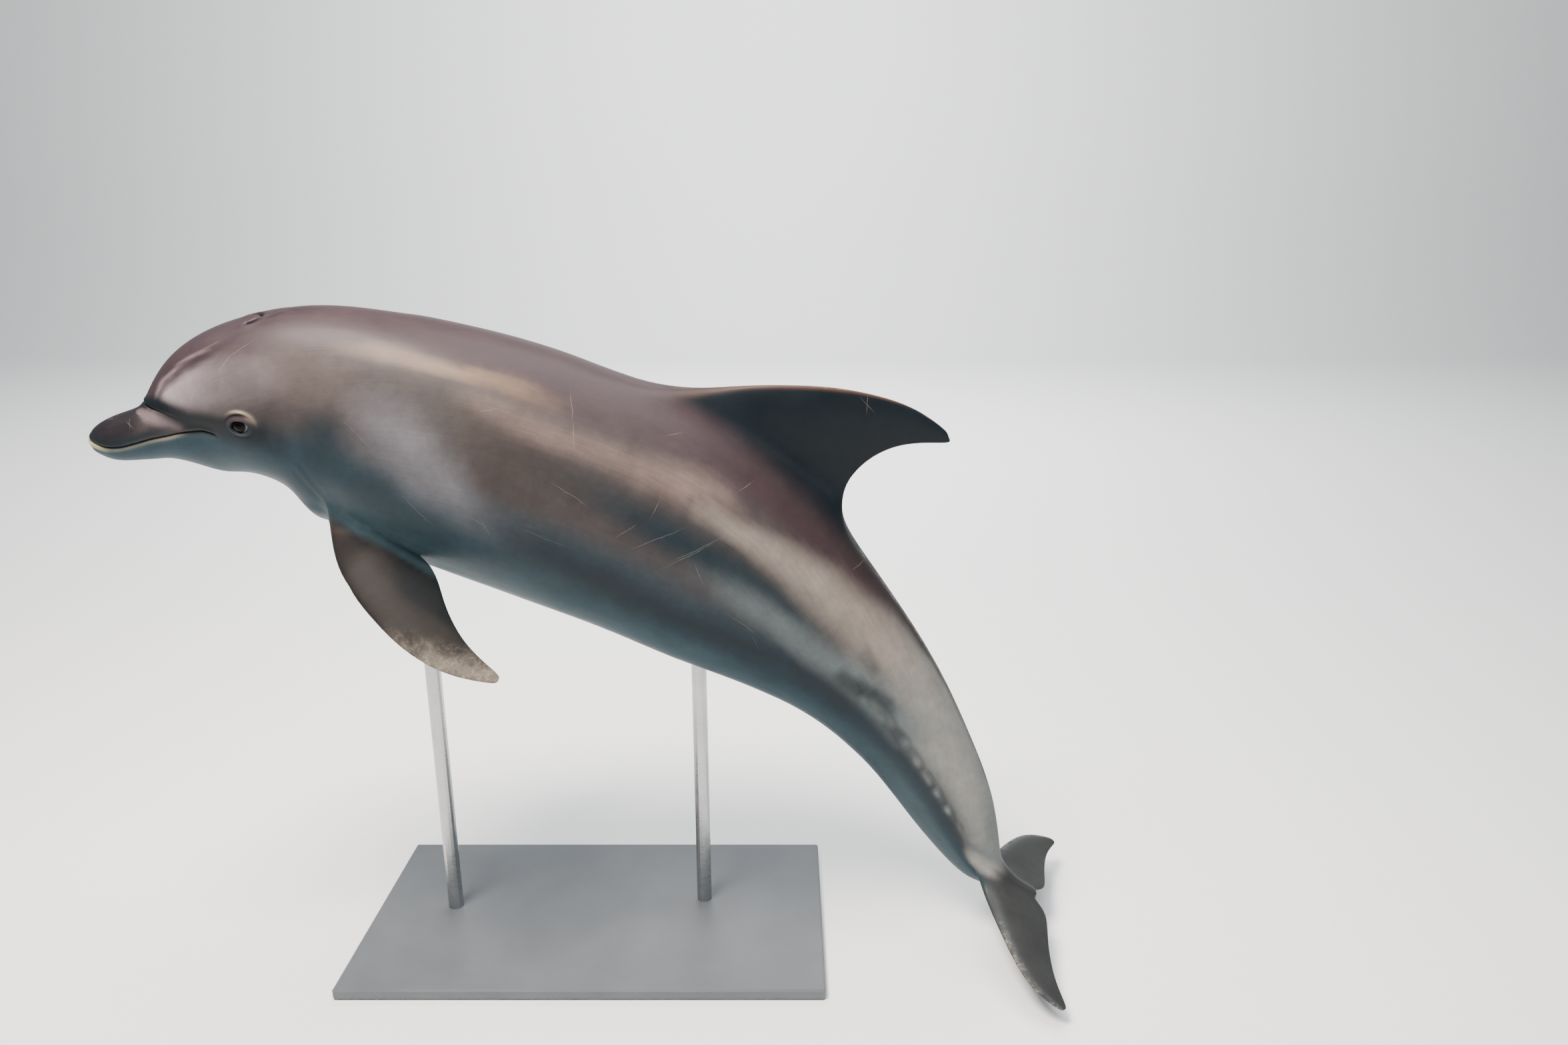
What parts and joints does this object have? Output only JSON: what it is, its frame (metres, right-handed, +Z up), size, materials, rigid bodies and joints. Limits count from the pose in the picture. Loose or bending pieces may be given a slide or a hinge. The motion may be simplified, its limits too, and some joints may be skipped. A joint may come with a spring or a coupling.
{
  "type": "bottlenose dolphin display model",
  "caption": "Still, life-size bottlenose dolphin gliding in an arch with its tail swept down, held above a flat base by steel rods.",
  "frame": {"origin": "on the floor, under the middle of the object's box; the stand's base rests on z = 0", "axes": "+Z up; the dolphin faces -X with its tail towards +X; its left side faces -Y"},
  "size_m": [2.0311, 0.6895, 1.4207],
  "materials": {
    "back_skin": "smooth, slightly wet sheen",
    "flank_skin": "smooth, slightly wet sheen",
    "belly_skin": "smooth, slightly wet sheen",
    "fin_skin": "smooth, slightly wet sheen",
    "eye_surface": "clear gloss over dark brown",
    "stand_paint": "satin light grey paint",
    "rod_steel": "brushed"
  },
  "bodies": {
    "root": {"upper_jaw": "flank_skin", "lower_jaw": "belly_skin", "melon": "back_skin", "head": "flank_skin", "blowhole": "back_skin", "eye_left": "eye_surface", "eye_right": "eye_surface", "neck": "flank_skin", "chest": "flank_skin", "trunk": "flank_skin", "loin": "flank_skin", "tail_front": "flank_skin", "tail_rear": "flank_skin", "tail_end": "flank_skin", "dorsal_fin": "fin_skin", "flipper_left": "fin_skin", "flipper_right": "fin_skin", "fluke_left": "fin_skin", "fluke_right": "fin_skin", "stand_base": "stand_paint", "stand_rod_front": "rod_steel", "stand_rod_rear": "rod_steel"}
  },
  "joints": []
}
